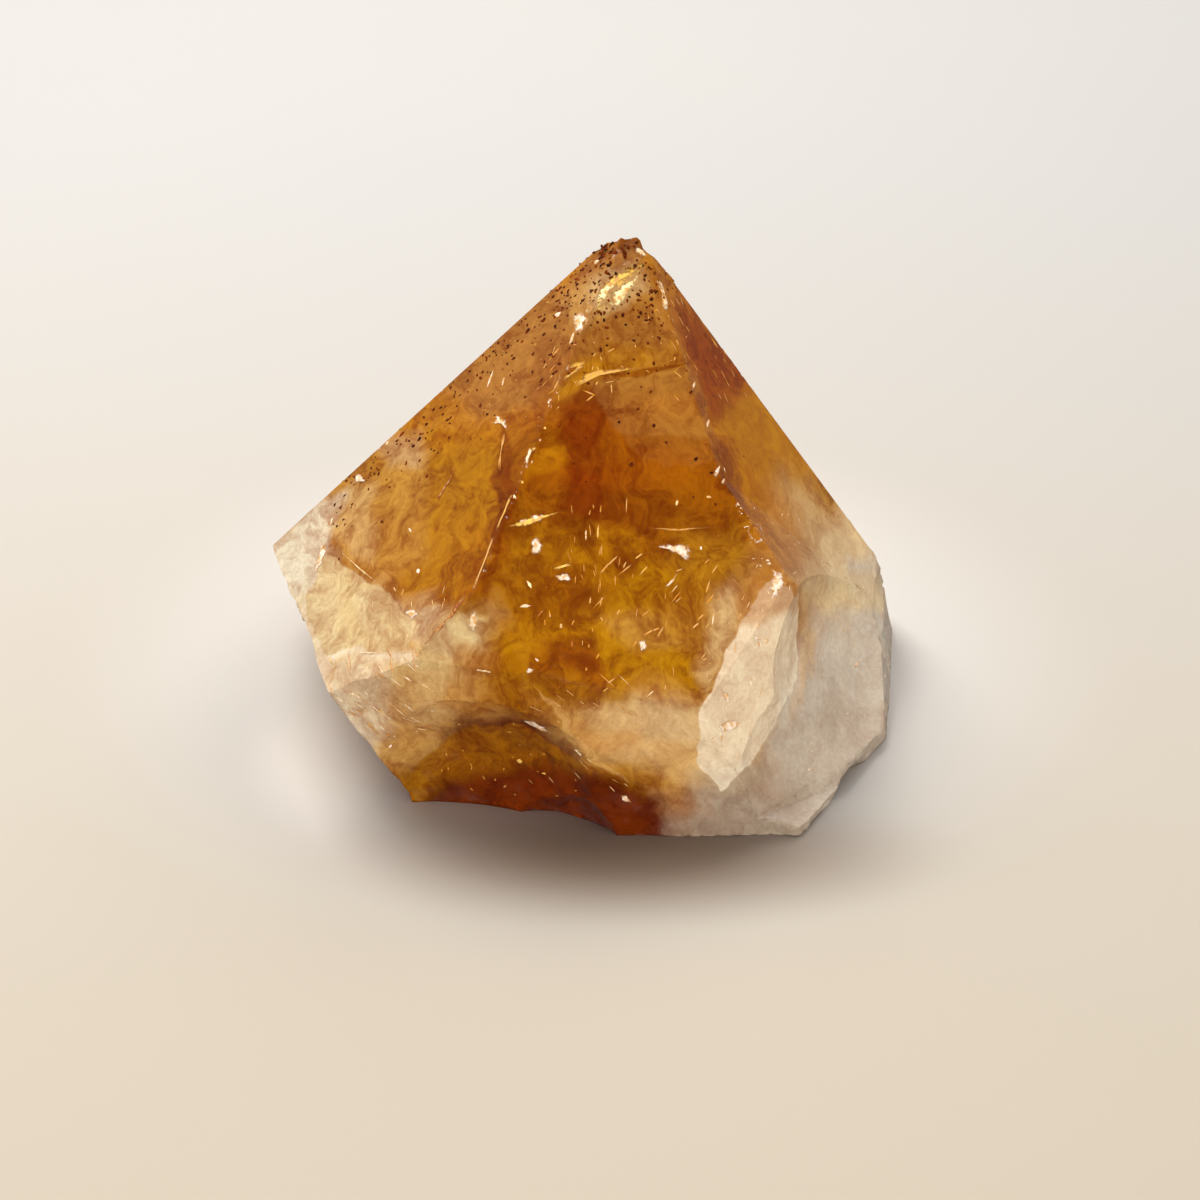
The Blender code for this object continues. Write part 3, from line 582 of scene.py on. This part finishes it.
class CitrineSizes(bpy.types.PropertyGroup):
    """Sizes that set how fine the finish is."""

    fine_edge: FloatProperty(
        name="Fine edge", description="Longest mesh edge on the fractured sides",
        unit="LENGTH", min=0.0002, default=0.00066,
    )
    hackle: FloatProperty(
        name="Hackle", description="Depth of the fine relief on the fractured sides",
        unit="LENGTH", min=0.0, default=0.0002,
    )
    speck_count: IntProperty(
        name="Specks", description="How many iron oxide grains sit in the tip", min=0, default=520,
    )
    absorption: FloatProperty(
        name="Absorption", description="How strongly clear quartz swallows light, per metre",
        min=0.0, default=110.0,
    )


def palette():
    return bpy.context.scene.citrine_colours


def sizes():
    return bpy.context.scene.citrine_sizes


def shade(name):
    """A named colour as a node socket takes it."""
    return (*getattr(palette(), name), 1.0)


def link(name, mesh, material):
    """Makes a mesh into an object of the crystal, riding on its body."""
    data = bpy.data.meshes.new(name)
    mesh.to_mesh(data)
    mesh.free()
    data.validate()
    obj = bpy.data.objects.new(name, data)
    bpy.context.scene.collection.objects.link(obj)
    data.materials.append(material)
    bpy.data.collections[LIT].objects.link(obj)
    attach(obj, BODY)
    return obj


# Where the tables' places fall on the crystal.


def ray(across, down):
    """The direction from the camera through a place in its view."""
    middle = VIEW_STEPS / 2
    reach = math.tan(CAMERA_FIELD / 2) / middle
    way = VIEW_AHEAD + VIEW_RIGHT * (across - middle) * reach - VIEW_UP * (down - middle) * reach
    return way.normalized()


def crystal_tree():
    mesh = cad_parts[NODE].data
    corners = [vert.co / MM for vert in mesh.vertices]
    return BVHTree.FromPolygons(corners, [face.vertices for face in mesh.polygons])


TREE = crystal_tree()


def cast(across, down):
    """Where a place in the camera's view falls on the crystal, and the way out of it there."""
    spot, outward, _, _ = TREE.ray_cast(EYE, ray(across, down))
    return spot, outward


# The quartz.

# Layers that keep what is worked out for each corner of the mesh.
ROUGH, TONE, CLOUD, BEND = "rough_side", "tone", "cloud", "bend"

QUARTZ_IOR = 1.544
# How much red, green and blue the clear quartz lets through.
QUARTZ_HAZE = (0.94, 0.70, 0.0, 1.0)
BUMP_DEPTH = 0.16 * MM

# What the mottling multiplies a colour by where it is dark, where it is bright and in its wisps.
DARKENED = (0.62, 0.44, 0.36)
BRIGHTENED = (1.27, 1.47, 1.6)
WISP_LIT = (1.5, 2.1, 2.6)
# How the streaks and wisps are squeezed along each axis, which draws them out upwards.
DRAWN_OUT = (1.5, 0.9, 0.36)

# Noise vectors start from the clock unless they are seeded, and would differ from run to run.
NOISE_SEED = 4
# Share of the bend that moves the veils, and that moves the mottling.
VEIL_BEND = 0.5
MOTTLE_BEND = 1.3


def smooth(share):
    """Eases a share from 0 to 1."""
    share = min(1.0, max(0.0, share))
    return share * share * (3.0 - 2.0 * share)


def zone_share(spot, centre, radii, softness):
    """1 inside an ellipsoid and 0 outside, with a soft edge."""
    local = Vector((a - b) / c for a, b, c in zip(spot, centre, radii))
    return smooth((1.0 + softness - local.length) / (2.0 * softness))


class Patch:
    """A many-sided patch of the camera's view, cast through the crystal."""

    def __init__(self, corners, name, strength, softness, cloudiness):
        self.name, self.strength, self.softness = name, strength, softness
        self.cloudiness = cloudiness
        ways = [ray(*corner) for corner in corners]
        self.sides = [a.cross(b).normalized() for a, b in zip(ways, ways[1:] + ways[:1])]
        spots = [spot for spot, _ in (cast(*corner) for corner in corners) if spot]
        self.centre = sum(spots, Vector()) / len(spots)
        self.reach = max((spot - self.centre).length for spot in spots) + 2.0

    def share(self, spot):
        """How much of the patch's colour a place takes."""
        if (spot - self.centre).length > self.reach:
            return 0.0
        inside = min(side.dot(spot - EYE) for side in self.sides)
        return self.strength * smooth(0.5 + inside / (2.0 * self.softness))

    def mask(self, paint, rays):
        """The same share as nodes, from the vector that runs from the eye to the place."""
        depth = None
        for side in self.sides:
            inside = paint.measure("DOT_PRODUCT", rays, tuple(side))
            depth = inside if depth is None else depth.sum("MINIMUM", depth, inside)
        near = paint.measure("DISTANCE", rays, tuple(self.centre - EYE))
        near = near.step(self.reach + 1.0, self.reach)
        return depth.step(-self.softness, self.softness) * near * self.strength


def bend_at(spot):
    """How far the quartz's zones and veils are pushed about at a place, in millimetres."""
    slow = noise.turbulence_vector(spot * 0.13, 2, False) * 2.0
    return slow + noise.turbulence_vector(spot * 0.5, 3, False) * 0.8


def soft_quartz(spot, bend, patches):
    """Colour and cloudiness of the quartz at a place, before its crisp veils."""
    ragged = spot + bend
    tone, cloud = Vector(palette().amber), BASE_CLOUD
    for centre, radii, name, strength, softness, cloudiness in ZONES.values():
        share = zone_share(ragged, centre, radii, softness) * strength
        if share > 0.0:
            tone = tone.lerp(Vector(getattr(palette(), name)), share)
            cloud += share * (cloudiness - cloud)
    for patch in patches:
        share = patch.share(spot + bend * VEIL_BEND)
        if share > 0.0:
            tone = tone.lerp(Vector(getattr(palette(), patch.name)), share)
            cloud += share * (patch.cloudiness - cloud)
    return tone, cloud


def quartz_colours(paint, place, bend):
    """The soft colours kept on the mesh with the crisp veils laid over them."""
    tone, cloud = paint.kept(TONE, 0), paint.kept(CLOUD, 2)
    rays = paint.vector("SUBTRACT", paint.pushed(place, bend, VEIL_BEND), tuple(EYE))
    for row in VEILS.values():
        veil = Patch(*row)
        mask = veil.mask(paint, rays)
        tone = paint.blend(mask, tone, shade(veil.name))
        cloud = cloud + mask * (veil.cloudiness - cloud)
    return tone, cloud


def mottled(paint, bent, tone, cloud, fine):
    """Breaks a colour up with blotches, drawn-out streaks, bright wisps and a fine grain."""
    blotch = paint.grain(bent, 0.30, 3.0, 0.6).step(0.38, 0.62)
    drawn = paint.vector("MULTIPLY", bent, DRAWN_OUT)
    streak = paint.grain(drawn, 1.3, 4.0, 0.65).step(0.36, 0.64)
    wisps = {"Vector": drawn, "Scale": 0.36, "Detail": 5.0, "Roughness": 0.55, "Lacunarity": 2.3}
    wisp = paint.add("ShaderNodeTexNoise", {"noise_type": "RIDGED_MULTIFRACTAL"}, wisps)
    light = blotch * 0.62 + streak * 0.38
    calm = cloud.step(0.52, 0.95) * 0.75
    light = light + calm * (0.62 - light) + (fine - 0.5) * 0.55
    dark, bright, caught = (
        paint.vector("MULTIPLY", tone, change) for change in (DARKENED, BRIGHTENED, WISP_LIT)
    )
    wisp = wisp.step(1.1, 1.9) * (0.8 - calm * 0.9)
    return paint.blend(wisp, paint.blend(light, dark, bright), caught)


def worn_ridges(paint, place):
    """1 on the white chips strung along the ridges."""
    nibble = paint.grain(place, 0.8, 3.0, 0.7)
    wear = None
    for start, end, width, cover in RIDGES:
        gap = 0.66 - 0.30 * cover
        near = paint.ridge(place, cast(*start)[0], cast(*end)[0]).step(width, width * 0.4)
        near = near * nibble.step(gap, gap + 0.05)
        wear = near if wear is None else wear.sum("MAXIMUM", wear, near)
    return wear


def quartz_material():
    paint = Paint("citrine_quartz")
    place = paint.place()
    rough_side, bend = paint.kept(ROUGH, 2), paint.kept(BEND, 1)
    tone, cloud = quartz_colours(paint, place, bend)
    fine = paint.grain(place, 2.6, 4.0, 0.66)
    tone = mottled(paint, paint.pushed(place, bend, MOTTLE_BEND), tone, cloud, fine)
    wear = worn_ridges(paint, place)
    tone = paint.blend(wear, tone, shade("chip"))
    cloud = cloud + wear * (1.0 - cloud)
    roughness = 0.07 + rough_side * 0.20 + cloud * cloud * 0.15 + wear * 0.25
    height = fine * (0.28 + rough_side * 0.72)
    bump = {"Strength": 0.5, "Distance": BUMP_DEPTH, "Height": height}
    both = {"IOR": QUARTZ_IOR, "Normal": paint.add("ShaderNodeBump", {}, bump)}
    clear_tint = paint.add("ShaderNodeGamma", {}, {0: tone, 1: 0.6})
    clear = paint.surface({
        "Base Color": clear_tint, "Roughness": roughness * 0.5, "Transmission Weight": 1.0, **both
    })
    milky = paint.surface({
        "Base Color": tone, "Roughness": roughness, "Specular IOR Level": 0.25, **both
    })
    body = paint.add("ShaderNodeMixShader", {}, {0: cloud, 1: clear, 2: milky})
    haze = {"Color": QUARTZ_HAZE, "Density": sizes().absorption}
    return paint.finish(body, paint.add("ShaderNodeVolumeAbsorption", {}, haze))


# A face larger than this is one of the crystal's flat faces, and a smaller one is fracture.
FACET_AREA = 9.0 * MM * MM
SMOOTHEST = math.radians(38.0)
# The base stays flat up to this height.
BASE_BAND = 0.05 * MM
# How many times an edge may be halved while the mesh is cut fine.
MOST_CUTS = 9
# The chips of the very tip: how far down they reach, and how deep they bite.
TIP_REACH = 2.2 * MM
TIP_BITE = 0.8 * MM

# Where each fracture started: its hackles run away from there and its ripples lie across them.
ORIGINS = tuple(Vector(start) for start in (
    (-22.0, -14.0, 22.0), (-2.0, -20.0, 18.0), (60.0, -10.0, 30.0), (-40.0, 20.0, 10.0),
    (10.0, 60.0, 20.0),
))


def fracture_relief(spot):
    """Height of the relief on a fractured side at a place in millimetres, from about -1 to 1."""
    origin = min(ORIGINS, key=lambda start: (spot - start).length)
    away = spot - origin
    distance = away.length
    way = away / distance
    hackle = noise.noise(way * 26.0 + Vector((0.0, 0.0, distance * 0.12)))
    ripple = math.sin(distance * 1.9 + 2.2 * noise.noise(spot * 0.25))
    grain = noise.fractal(spot * 1.4, 1.0, 2.0, 3)
    lump = noise.noise(spot * 0.42)
    return 0.75 * hackle + 0.28 * ripple + 0.5 * grain + 0.9 * lump


def crystal_mesh():
    """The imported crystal, cut fine, with relief on its fractured sides and colours on its corners."""
    noise.seed_set(NOISE_SEED)
    mesh = bmesh.new()
    mesh.from_mesh(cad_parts[NODE].data)
    bmesh.ops.remove_doubles(mesh, verts=mesh.verts, dist=0.003 * MM)
    bmesh.ops.dissolve_limit(
        mesh, angle_limit=math.radians(0.3), verts=mesh.verts, edges=mesh.edges, delimit={"NORMAL"}
    )
    facet_tag = mesh.faces.layers.int.new("facet")
    facets = [face for face in mesh.faces if face.calc_area() > FACET_AREA]
    normals = [face.normal.copy() for face in facets]
    for index, face in enumerate(facets):
        face[facet_tag] = index + 1
    bmesh.ops.triangulate(mesh, faces=mesh.faces)
    refine(mesh, sizes().fine_edge)
    for _ in range(2):
        bmesh.ops.dissolve_degenerate(mesh, dist=0.01 * MM, edges=mesh.edges)
        bmesh.ops.triangulate(mesh, faces=mesh.faces)
    mesh.normal_update()
    relieve(mesh, facet_tag)
    break_tip(mesh)
    paint_corners(mesh)
    return mesh, normals


def refine(mesh, longest):
    """Splits the longer edges above the base until none is longer than a given length."""
    for _ in range(MOST_CUTS):
        long_edges = [
            edge for edge in mesh.edges
            if edge.calc_length() > longest and max(vert.co.z for vert in edge.verts) > BASE_BAND
        ]
        if not long_edges:
            return
        bmesh.ops.subdivide_edges(mesh, edges=long_edges, cuts=1)
        bmesh.ops.triangulate(mesh, faces=[face for face in mesh.faces if len(face.verts) > 3])


def relieve(mesh, facet_tag):
    """Raises and sinks the fractured sides, leaving the flat faces and the foot as they are."""
    strength = mesh.verts.layers.float.new(ROUGH)
    depth = sizes().hackle
    for vert in mesh.verts:
        if any(face[facet_tag] for face in vert.link_faces):
            continue
        vert[strength] = 1.0
        if vert.co.z > BASE_BAND:
            vert.co += vert.normal * depth * fracture_relief(vert.co / MM)


def break_tip(mesh):
    """Chips the very tip, which ends in a few jagged teeth."""
    top = max(vert.co.z for vert in mesh.verts)
    for vert in mesh.verts:
        share = smooth(1.0 - (top - vert.co.z) / TIP_REACH)
        if share > 0.0:
            bite = noise.noise(vert.co / MM * 0.9 + Vector((3.0, 0.0, 0.0)))
            vert.co -= vert.normal * share * max(0.0, 0.35 + bite) * TIP_BITE


def paint_corners(mesh):
    """Keeps the soft colours, the cloudiness and the bend on the corners of the mesh."""
    tone_layer = mesh.verts.layers.float_color.new(TONE)
    cloud_layer = mesh.verts.layers.float.new(CLOUD)
    bend_layer = mesh.verts.layers.float_vector.new(BEND)
    patches = [Patch(*row) for row in HAZES.values()]
    for vert in mesh.verts:
        bend = bend_at(vert.co / MM)
        tone, cloud = soft_quartz(vert.co / MM, bend, patches)
        vert[bend_layer] = bend
        vert[tone_layer] = (*tone, 1.0)
        vert[cloud_layer] = cloud


def settle_normals(data, normals):
    """Shades each flat face as one plane and the fractures smoothly, up to a sharpest bend."""
    data.set_sharp_from_angle(angle=SMOOTHEST)
    tags = data.attributes["facet"].data
    smooth_normals = [corner.vector.copy() for corner in data.corner_normals]
    for face in data.polygons:
        facet = tags[face.index].value
        if facet:
            for loop in face.loop_indices:
                smooth_normals[loop] = normals[facet - 1]
    data.normals_split_custom_set(smooth_normals)


class CITRINE_OT_crystal(bpy.types.Operator):
    """Adds the quartz itself, fine enough to show its fractures"""

    bl_idname = "citrine.crystal"
    bl_label = "Crystal"

    def execute(self, context):
        mesh, normals = crystal_mesh()
        for face in mesh.faces:
            face.smooth = True
        obj = link("crystal", mesh, quartz_material())
        settle_normals(obj.data, normals)
        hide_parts(NODE)
        return {"FINISHED"}


# What shows in the quartz.

# Layer that keeps how much a flake covers: 1 in its middle and 0 at its rim.
COVER = "cover"
SIX_SIDES = (
    (1, 0, 0), (0.5, 0.87, 0), (-0.5, 0.87, 0), (-1, 0, 0), (-0.5, -0.87, 0), (0.5, -0.87, 0)
)
# How many sides a crack or bubble has, how far a flake's corners stray from their places in steps,
# and where it is cut between two corners.
GLINT_SIDES = 14
FLAKE_STRAY = 0.9
FLAKE_CUTS = (0.0, 0.34, 0.67)

# The part of the view that holds the specks, the left skyline's height at its left side and its
# slope, and how many places are tried for one speck.
SPECKED_ACROSS = (330, 760)
SPECKED_DOWN = (240, 560)
SKYLINE = (512, 0.93)
TRIES = 60


def grain_shape(chooser, size, frame, middle):
    """A flattened six-sided grain: its corners and its faces."""
    lift = Vector((0, 0, 0.55))
    ring = [Vector(corner) * chooser.uniform(0.65, 1.25) for corner in SIX_SIDES]
    points = [lift, *ring, -lift]
    faces = []
    for index in range(6):
        after = (index + 1) % 6
        faces += [(0, 1 + index, 1 + after), (7, 1 + after, 1 + index)]
    return [middle + frame @ Vector(a * b for a, b in zip(point, size)) for point in points], faces


def add_shape(mesh, points, faces, material=0):
    """Adds a shape whose first corner is its middle, where it covers most."""
    cover = mesh.verts.layers.float.get(COVER) or mesh.verts.layers.float.new(COVER)
    verts = [mesh.verts.new(point * MM) for point in points]
    verts[0][cover] = 1.0
    for corners in faces:
        mesh.faces.new([verts[index] for index in corners]).material_index = material


def surface_frame(outward, turn):
    """Axes lying on a face, the first turned from the view's right by an angle in degrees."""
    angle = math.radians(turn)
    along = VIEW_RIGHT * math.cos(angle) - VIEW_UP * math.sin(angle)
    along = (along - outward * along.dot(outward)).normalized()
    axes = Matrix((along, outward.cross(along), outward))
    return axes.transposed()


def speck_places(chooser, count):
    """Places on the tip's faces, crowding towards the left skyline, with the way out of the face."""
    found = []
    for _ in range(count * TRIES):
        if len(found) == count:
            break
        across, down = chooser.uniform(*SPECKED_ACROSS), chooser.uniform(*SPECKED_DOWN)
        spot, outward = cast(across, down)
        if spot is None or outward.z < 0.2:
            continue
        skyline = SKYLINE[0] - (across - SPECKED_ACROSS[0]) * SKYLINE[1]
        crowd = 1.5 * math.exp(-abs(down - skyline) / 16.0)
        crowd += 1.1 * math.exp(-max(0.0, down - 300) / 38.0)
        if outward.x > 0.4:
            crowd *= 0.5
        clump = 0.35 + 1.6 * max(0.0, noise.noise(spot * 0.5))
        if chooser.random() < crowd * clump * 0.5:
            found.append((spot, outward))
    return found


class CITRINE_OT_specks(bpy.types.Operator):
    """Adds the rust-brown grains just under the faces of the tip"""

    bl_idname = "citrine.specks"
    bl_label = "Specks"

    def execute(self, context):
        chooser = random.Random(11)
        mesh = bmesh.new()
        for spot, outward in speck_places(chooser, sizes().speck_count):
            radius = chooser.uniform(0.09, 0.21)
            size = (radius * chooser.uniform(0.8, 1.7), radius, 0.12)
            middle = spot - outward * chooser.uniform(0.0, 0.03)
            frame = surface_frame(outward, chooser.uniform(0, 180))
            add_shape(mesh, *grain_shape(chooser, size, frame, middle))
        link("rust_specks", mesh, speck_material())
        return {"FINISHED"}


def speck_material():
    paint = Paint("rust_specks")
    tint = paint.grain(paint.place(), 3.0, 2.0)
    tone = paint.blend(tint.step(0.35, 0.7) * 0.7, shade("speck"), shade("rust"))
    dull = {"Base Color": tone, "Roughness": 0.8 + tint * 0.2, "Specular IOR Level": 0.1}
    return paint.finish(paint.surface(dull))


def crack_material(name):
    """Light caught on a crack: pale, with a satin face, darker fringes and feathered sides."""
    paint = Paint(f"crack_{name}")
    place = paint.place()
    patch = paint.grain(paint.warped(place, 1.0, 0.5), 2.4, 3.0)
    tone = paint.blend(patch.step(0.62, 0.36), shade(name), shade("sand"))
    cover = (paint.kept(COVER, 2) + (patch - 0.5) * 0.8).step(0.02, 0.52)
    glow = {"Base Color": tone, "Roughness": 0.3 + patch * 0.3, "Alpha": cover}
    return paint.finish(paint.surface(glow))


def glint_shape(chooser, middle, frame, length, width):
    """A ragged, slightly raised flake: its corners and its faces."""
    points = [middle + frame @ Vector((0, 0, 0.05))]
    for index in range(GLINT_SIDES):
        angle = 2 * math.pi * index / GLINT_SIDES
        bite = chooser.uniform(0.68, 1.18)
        across = math.cos(angle) * length / 2 * bite
        up = math.sin(angle) * width / 2 * bite
        points.append(middle + frame @ Vector((across, up, -0.04)))
    points.append(middle + frame @ Vector((0, 0, -0.08)))
    faces = []
    for index in range(GLINT_SIDES):
        here, after = 1 + index, 1 + (index + 1) % GLINT_SIDES
        faces += [(0, here, after), (GLINT_SIDES + 1, after, here)]
    return points, faces


def flake_shape(chooser, corners):
    """A flake with ragged sides, lying just proud of the crystal: its corners and its faces."""
    rim = []
    for (across, down), (next_across, next_down) in zip(corners, corners[1:] + corners[:1]):
        for share in FLAKE_CUTS:
            x = across + (next_across - across) * share + chooser.uniform(-FLAKE_STRAY, FLAKE_STRAY)
            y = down + (next_down - down) * share + chooser.uniform(-FLAKE_STRAY, FLAKE_STRAY)
            spot, outward = cast(x, y)
            if spot:
                rim.append((spot, outward))
    middle = sum((spot for spot, _ in rim), Vector()) / len(rim)
    outward = rim[0][1]
    count = len(rim)
    points = [middle + outward * 0.09]
    points += [spot + way * 0.05 for spot, way in rim]
    points += [spot - way * 0.08 for spot, way in rim]
    faces = []
    for index in range(count):
        here, after = 1 + index, 1 + (index + 1) % count
        faces += [(0, after, here), (here, after, count + after, count + here)]
    faces.append(tuple(range(count + 1, 2 * count + 1)))
    return points, faces


def link_bright(name, mesh, tones):
    """Makes bright flakes into an object, with a crack material for each of their colours."""
    obj = link(name, mesh, crack_material(tones[0]))
    for tone in tones[1:]:
        obj.data.materials.append(crack_material(tone))


class CITRINE_OT_glints(bpy.types.Operator):
    """Adds the cracks and bubbles that catch the light"""

    bl_idname = "citrine.glints"
    bl_label = "Glints"

    def execute(self, context):
        chooser = random.Random(5)
        tones = sorted({row[-1] for row in GLINTS + FLAKES})
        mesh = bmesh.new()
        for corners, tone in FLAKES:
            add_shape(mesh, *flake_shape(chooser, corners), tones.index(tone))
        for across, down, length, width, turn, tone in GLINTS:
            spot, outward = cast(across, down)
            if spot is None:
                continue
            frame = surface_frame(outward, turn)
            # A face seen at a slant looks shorter than it is.
            slant = max(0.35, abs(outward.dot(ray(across, down))))
            shape = glint_shape(chooser, spot, frame, length * STEP_SIZE, width * STEP_SIZE / slant)
            add_shape(mesh, *shape, tones.index(tone))
        link_bright("bright_cracks", mesh, tones)
        return {"FINISHED"}


class CITRINE_OT_slivers(bpy.types.Operator):
    """Adds the fine bright slivers strewn through the quartz"""

    bl_idname = "citrine.slivers"
    bl_label = "Slivers"

    def execute(self, context):
        chooser = random.Random(23)
        tones = sorted({tone for *_, choices in SLIVERS for tone in choices})
        mesh = bmesh.new()
        for (left, top, right, bottom), count, turn, spread, lengths, width, choices in SLIVERS:
            for _ in range(count):
                across, down = chooser.uniform(left, right), chooser.uniform(top, bottom)
                angle = chooser.gauss(turn, spread)
                length, tone = chooser.uniform(*lengths) * STEP_SIZE, chooser.choice(choices)
                spot, outward = cast(across, down)
                if spot is None:
                    continue
                frame = surface_frame(outward, angle)
                size = (length / 2, width * STEP_SIZE / 2 * chooser.uniform(0.6, 1.3), 0.05)
                add_shape(mesh, *grain_shape(chooser, size, frame, spot), tones.index(tone))
        link_bright("slivers", mesh, tones)
        return {"FINISHED"}


# The stage.

# Soft lights: place and target in millimetres, width in metres, watts and tint.
LIGHTS = {
    "key": ((-130, 190, 350), (0, 0, 10), 0.24, 1.65, (1.0, 0.97, 0.93)),
    "back_right": ((150, 260, 240), (0, 0, 10), 0.2, 0.3, (1.0, 0.97, 0.93)),
    "front_glow": ((60, -420, 260), (0, 0, 15), 0.5, 2.8, (1.0, 0.98, 0.96)),
}

# Round patches of painted light and shadow on the floor: a pale pool beside the crystal, light that
# leaves the crystal through the pale ledge, and an amber-tinted shadow in front of the foot. Each gives
# its middle, how each axis is scaled, the distances, so scaled, at which the patch ends and is full,
# its strength and colour.
FLOOR_PATCHES = (
    ((0.0, 0.0, 0.0), (0.026, 0.030, 0.0), (1.4, 0.7), 1.0, "floor_light_beside"),
    ((-22.0, -14.0, 0.0), (0.11, 0.09, 0.0), (1.25, 0.25), 0.6, "floor_lit"),
    ((4.0, -28.0, 0.0), (0.036, 0.11, 0.0), (1.15, 0.15), 0.72, "floor_amber"),
)
FLOOR_HALF = 2.0
# The floor turns from its back colour to its front one between these distances ahead of the middle.
FLOOR_TURN = (-120.0, 120.0)

# The sky behind the crystal is the brightest: its least strength and what is added to it there.
SKY_LEAST, SKY_BEHIND = 0.17, 0.68
# Outputs of the Light Path node that tell a glossy ray and a mirrored one.
GLOSSY_RAY, MIRRORED_RAY = 3, 5
BOUNCES = {
    "max_bounces": 8, "transmission_bounces": 8, "diffuse_bounces": 3, "glossy_bounces": 3,
}


def aim(obj, place, target):
    obj.location = Vector(place) * MM
    way = (Vector(target) - Vector(place)).normalized()
    obj.rotation_euler = way.to_track_quat("-Z", "Y").to_euler()


def add_light(name):
    place, target, width, power, tint = LIGHTS[name]
    data = bpy.data.lights.new(name, "AREA")
    data.shape = "SQUARE"
    data.size = width
    data.energy = power
    data.color = tint
    obj = bpy.data.objects.new(name, data)
    bpy.context.scene.collection.objects.link(obj)
    aim(obj, place, target)
    return obj


def floor_material():
    paint = Paint("pale_floor")
    place = paint.place()
    front = paint.measure("DOT_PRODUCT", place, (0.0, -1.0, 0.0)).step(*FLOOR_TURN)
    drift = paint.grain(place, 0.01) * 0.2
    tone = paint.blend(front + drift, shade("floor"), shade("floor_front"))
    for middle, scales, (ends, full), strength, name in FLOOR_PATCHES:
        offset = paint.vector("MULTIPLY", paint.vector("SUBTRACT", place, middle), scales)
        share = paint.measure("LENGTH", offset).step(ends, full) * strength
        tone = paint.blend(share, tone, shade(name))
    dull = {"Base Color": tone, "Roughness": 0.7, "Specular IOR Level": 0.2}
    return paint.finish(paint.surface(dull))


def add_floor():
    mesh = bmesh.new()
    bmesh.ops.create_grid(mesh, x_segments=2, y_segments=2, size=FLOOR_HALF)
    data = bpy.data.meshes.new("floor")
    mesh.to_mesh(data)
    mesh.free()
    floor = bpy.data.objects.new("floor", data)
    data.materials.append(floor_material())
    bpy.context.scene.collection.objects.link(floor)
    floor.visible_glossy = False


def add_sky():
    """Soft light from all round, dimmer in the crystal's own reflections."""
    world = bpy.data.worlds.new("soft_sky")
    bpy.context.scene.world = world
    world.use_nodes = True
    sky = Paint.of(world.node_tree)
    glossy = sky.add("ShaderNodeLightPath", output=GLOSSY_RAY)
    mirrored = glossy * sky.add("ShaderNodeLightPath", output=MIRRORED_RAY)
    way = sky.add("ShaderNodeTexCoord", output=0)
    behind = sky.measure("DOT_PRODUCT", way, (0.0, 1.0, 0.0)).step(-0.7, 0.7)
    strength = (SKY_LEAST + behind * SKY_BEHIND) * (1.0 - mirrored * 0.8)
    background = sky.add("ShaderNodeBackground", {}, {"Color": shade("sky"), "Strength": strength})
    sky.tree.links.new(background.socket, sky.tree.nodes["World Output"].inputs["Surface"])


def add_lights():
    key = add_light("key")
    key.visible_transmission = False
    add_light("back_right")
    front = add_light("front_glow")
    front.visible_glossy = False
    front.light_linking.receiver_collection = bpy.data.collections.new(LIT)


def add_camera():
    camera = bpy.data.cameras.new("camera")
    camera.sensor_width = SENSOR
    camera.lens = SENSOR / 2 / math.tan(CAMERA_FIELD / 2)
    camera.clip_start = 0.01
    camera.clip_end = 20.0
    obj = bpy.data.objects.new("camera", camera)
    bpy.context.scene.collection.objects.link(obj)
    aim(obj, EYE, CAMERA_TARGET)
    bpy.context.scene.camera = obj


class CITRINE_OT_stage(bpy.types.Operator):
    """Adds the plain floor, the soft lights and the camera"""

    bl_idname = "citrine.stage"
    bl_label = "Stage"

    def execute(self, context):
        add_floor()
        add_sky()
        add_lights()
        add_camera()
        context.scene.view_settings.view_transform = "Standard"
        for name, count in BOUNCES.items():
            setattr(context.scene.cycles, name, count)
        return {"FINISHED"}


class CITRINE_PT_panel(bpy.types.Panel):
    """Lists the steps and what a user would change"""

    bl_idname = "CITRINE_PT_panel"
    bl_label = "Citrine Point"
    bl_space_type = "VIEW_3D"
    bl_region_type = "UI"
    bl_category = "Citrine"

    def draw(self, context):
        for operator in STEPS:
            self.layout.operator(operator.bl_idname)
        for group in (context.scene.citrine_sizes, context.scene.citrine_colours):
            box = self.layout.box()
            for name in group.__annotations__:
                box.prop(group, name)


STEPS = (CITRINE_OT_stage, CITRINE_OT_crystal, CITRINE_OT_specks, CITRINE_OT_glints, CITRINE_OT_slivers)
CLASSES = (CitrineColours, CitrineSizes, *STEPS, CITRINE_PT_panel)


def register():
    for item in CLASSES:
        bpy.utils.register_class(item)
    bpy.types.Scene.citrine_colours = PointerProperty(type=CitrineColours)
    bpy.types.Scene.citrine_sizes = PointerProperty(type=CitrineSizes)


def unregister():
    del bpy.types.Scene.citrine_sizes
    del bpy.types.Scene.citrine_colours
    for item in reversed(CLASSES):
        bpy.utils.unregister_class(item)


def main():
    register()
    bpy.ops.citrine.stage()
    bpy.ops.citrine.crystal()
    bpy.ops.citrine.specks()
    bpy.ops.citrine.glints()
    bpy.ops.citrine.slivers()


if __name__ == "__main__":
    main()
